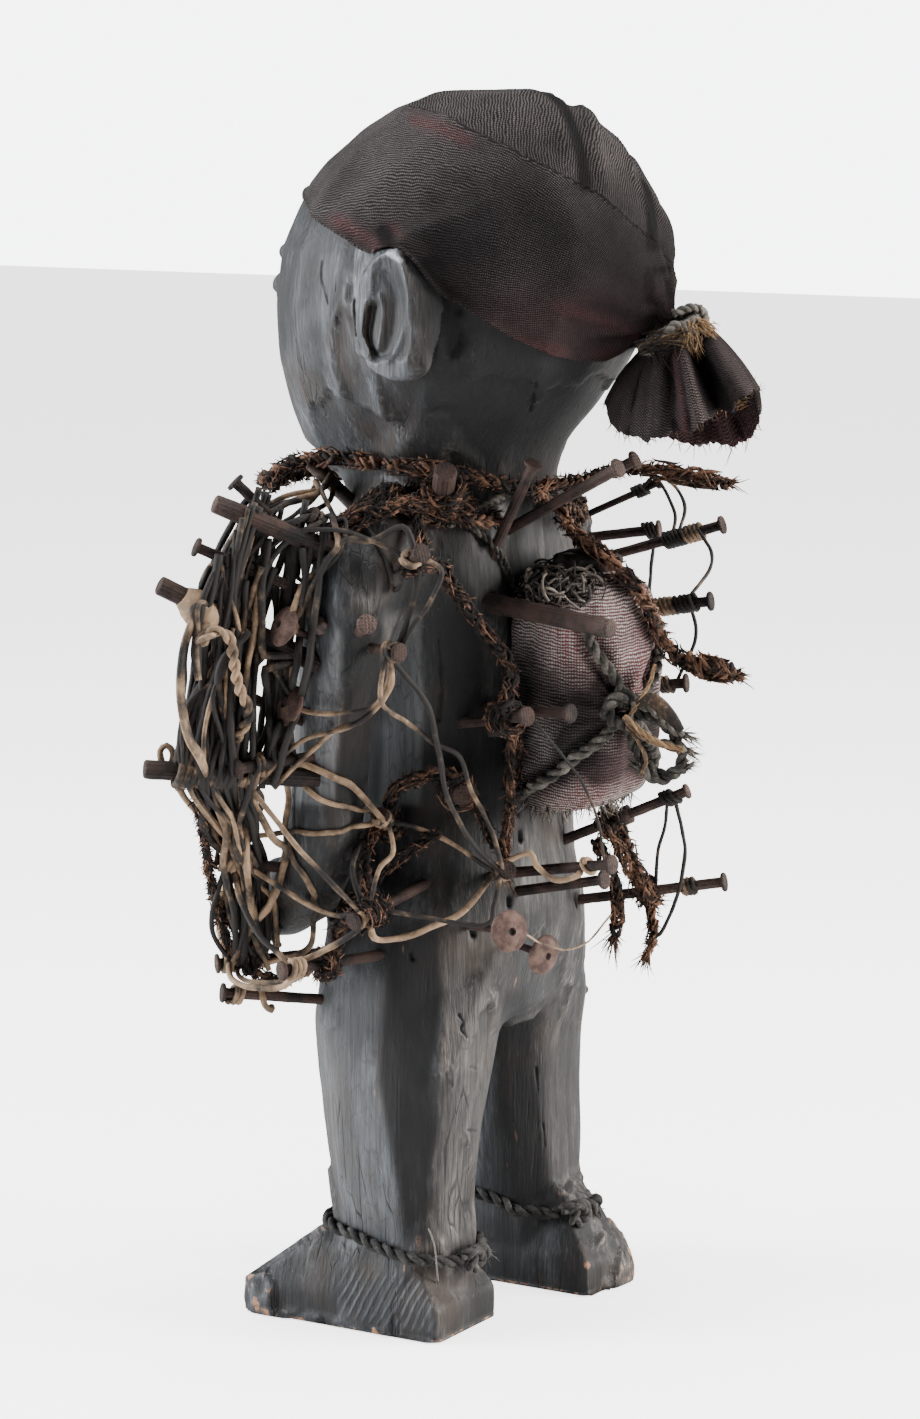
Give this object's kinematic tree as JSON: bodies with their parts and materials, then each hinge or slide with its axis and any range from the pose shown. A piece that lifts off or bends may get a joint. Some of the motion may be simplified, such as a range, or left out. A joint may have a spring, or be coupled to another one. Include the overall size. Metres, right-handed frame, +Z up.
{
  "type": "nkisi nkondi figure",
  "caption": "Standing carved wooden power figure with driven nails, a cloth over its head, a cloth bundle on its back, plaited ropes and wound vines.",
  "frame": {"origin": "on the standing plane, under the middle of the whole piece", "axes": "+Z up, -Y the way the figure faces, +X towards its left hand"},
  "size_m": [0.3097, 0.2528, 0.5788],
  "materials": {
    "carved_wood": "dark blackened wood, satin on the raised parts",
    "peg_wood": "rough dark brown sticks",
    "iron": "rusted wrought iron",
    "head_cloth": "coarse dark weave with a dull red thread",
    "bundle_cloth": "coarse dark weave, frayed",
    "fibre_rope": "grey twisted plant fibre",
    "bast_rope": "reddish brown plaited bast",
    "vine": "dry tan and grey vine"
  },
  "bodies": {
    "root": {"carved_figure": "carved_wood", "head_cloth": "head_cloth", "head_cloth_binding": "fibre_rope", "medicine_bundle": "bundle_cloth", "bundle_rope": "fibre_rope", "bundle_fibre": "fibre_rope", "ankle_rope_left": "fibre_rope", "ankle_rope_right": "fibre_rope", "bast_rope_neck": "bast_rope", "bast_rope_back": "bast_rope", "bast_rope_hip": "bast_rope", "bast_rope_right": "bast_rope", "vine_net_left": "vine", "vine_net_front": "vine", "vine_net_right": "vine", "nail_shoulder_left_front": "iron", "rod_shoulder_left": "iron", "nail_upper_arm_left_front": "iron", "bolt_upper_arm_left": "iron", "peg_neck_left": "peg_wood", "bolt_neck_back_left": "iron", "nail_shoulder_left_top": "iron", "nail_shoulder_left_back": "iron", "nail_upper_arm_left_side": "iron", "tack_upper_arm_left_high": "iron", "tack_upper_arm_left_low": "iron", "nail_upper_arm_left_rear": "iron", "peg_upper_arm_left": "peg_wood", "nail_arm_left_middle": "iron", "rod_arm_left": "iron", "nail_arm_left_low": "iron", "nail_elbow_left": "iron", "nail_hip_left_front_high": "iron", "nail_hip_left_front_low": "iron", "nail_hip_left_side": "iron", "nail_waist_left_side": "iron", "nail_waist_left_back": "iron", "nail_hip_left_back": "iron", "nail_back_left_middle": "iron", "nail_back_left_long": "iron", "nail_buttock_left": "iron", "nail_buttock_middle_high": "iron", "nail_buttock_middle_low": "iron", "nail_buttock_right_long": "iron", "bolt_waist_back_right": "iron", "nail_back_right_middle": "iron", "tack_buttock_left_high": "iron", "tack_buttock_left_low": "iron", "nail_nape_left": "iron", "nail_nape_right": "iron", "wire_shoulder_right_top": "iron", "nail_back_left_high": "iron", "nail_shoulder_right_back": "iron", "nail_shoulder_right_long": "iron", "nail_back_right_high": "iron", "bar_back_left": "iron", "nail_chest_left": "iron", "nail_chest_right": "iron", "rod_arm_right": "iron", "nail_arm_right_low": "iron"}
  },
  "joints": []
}
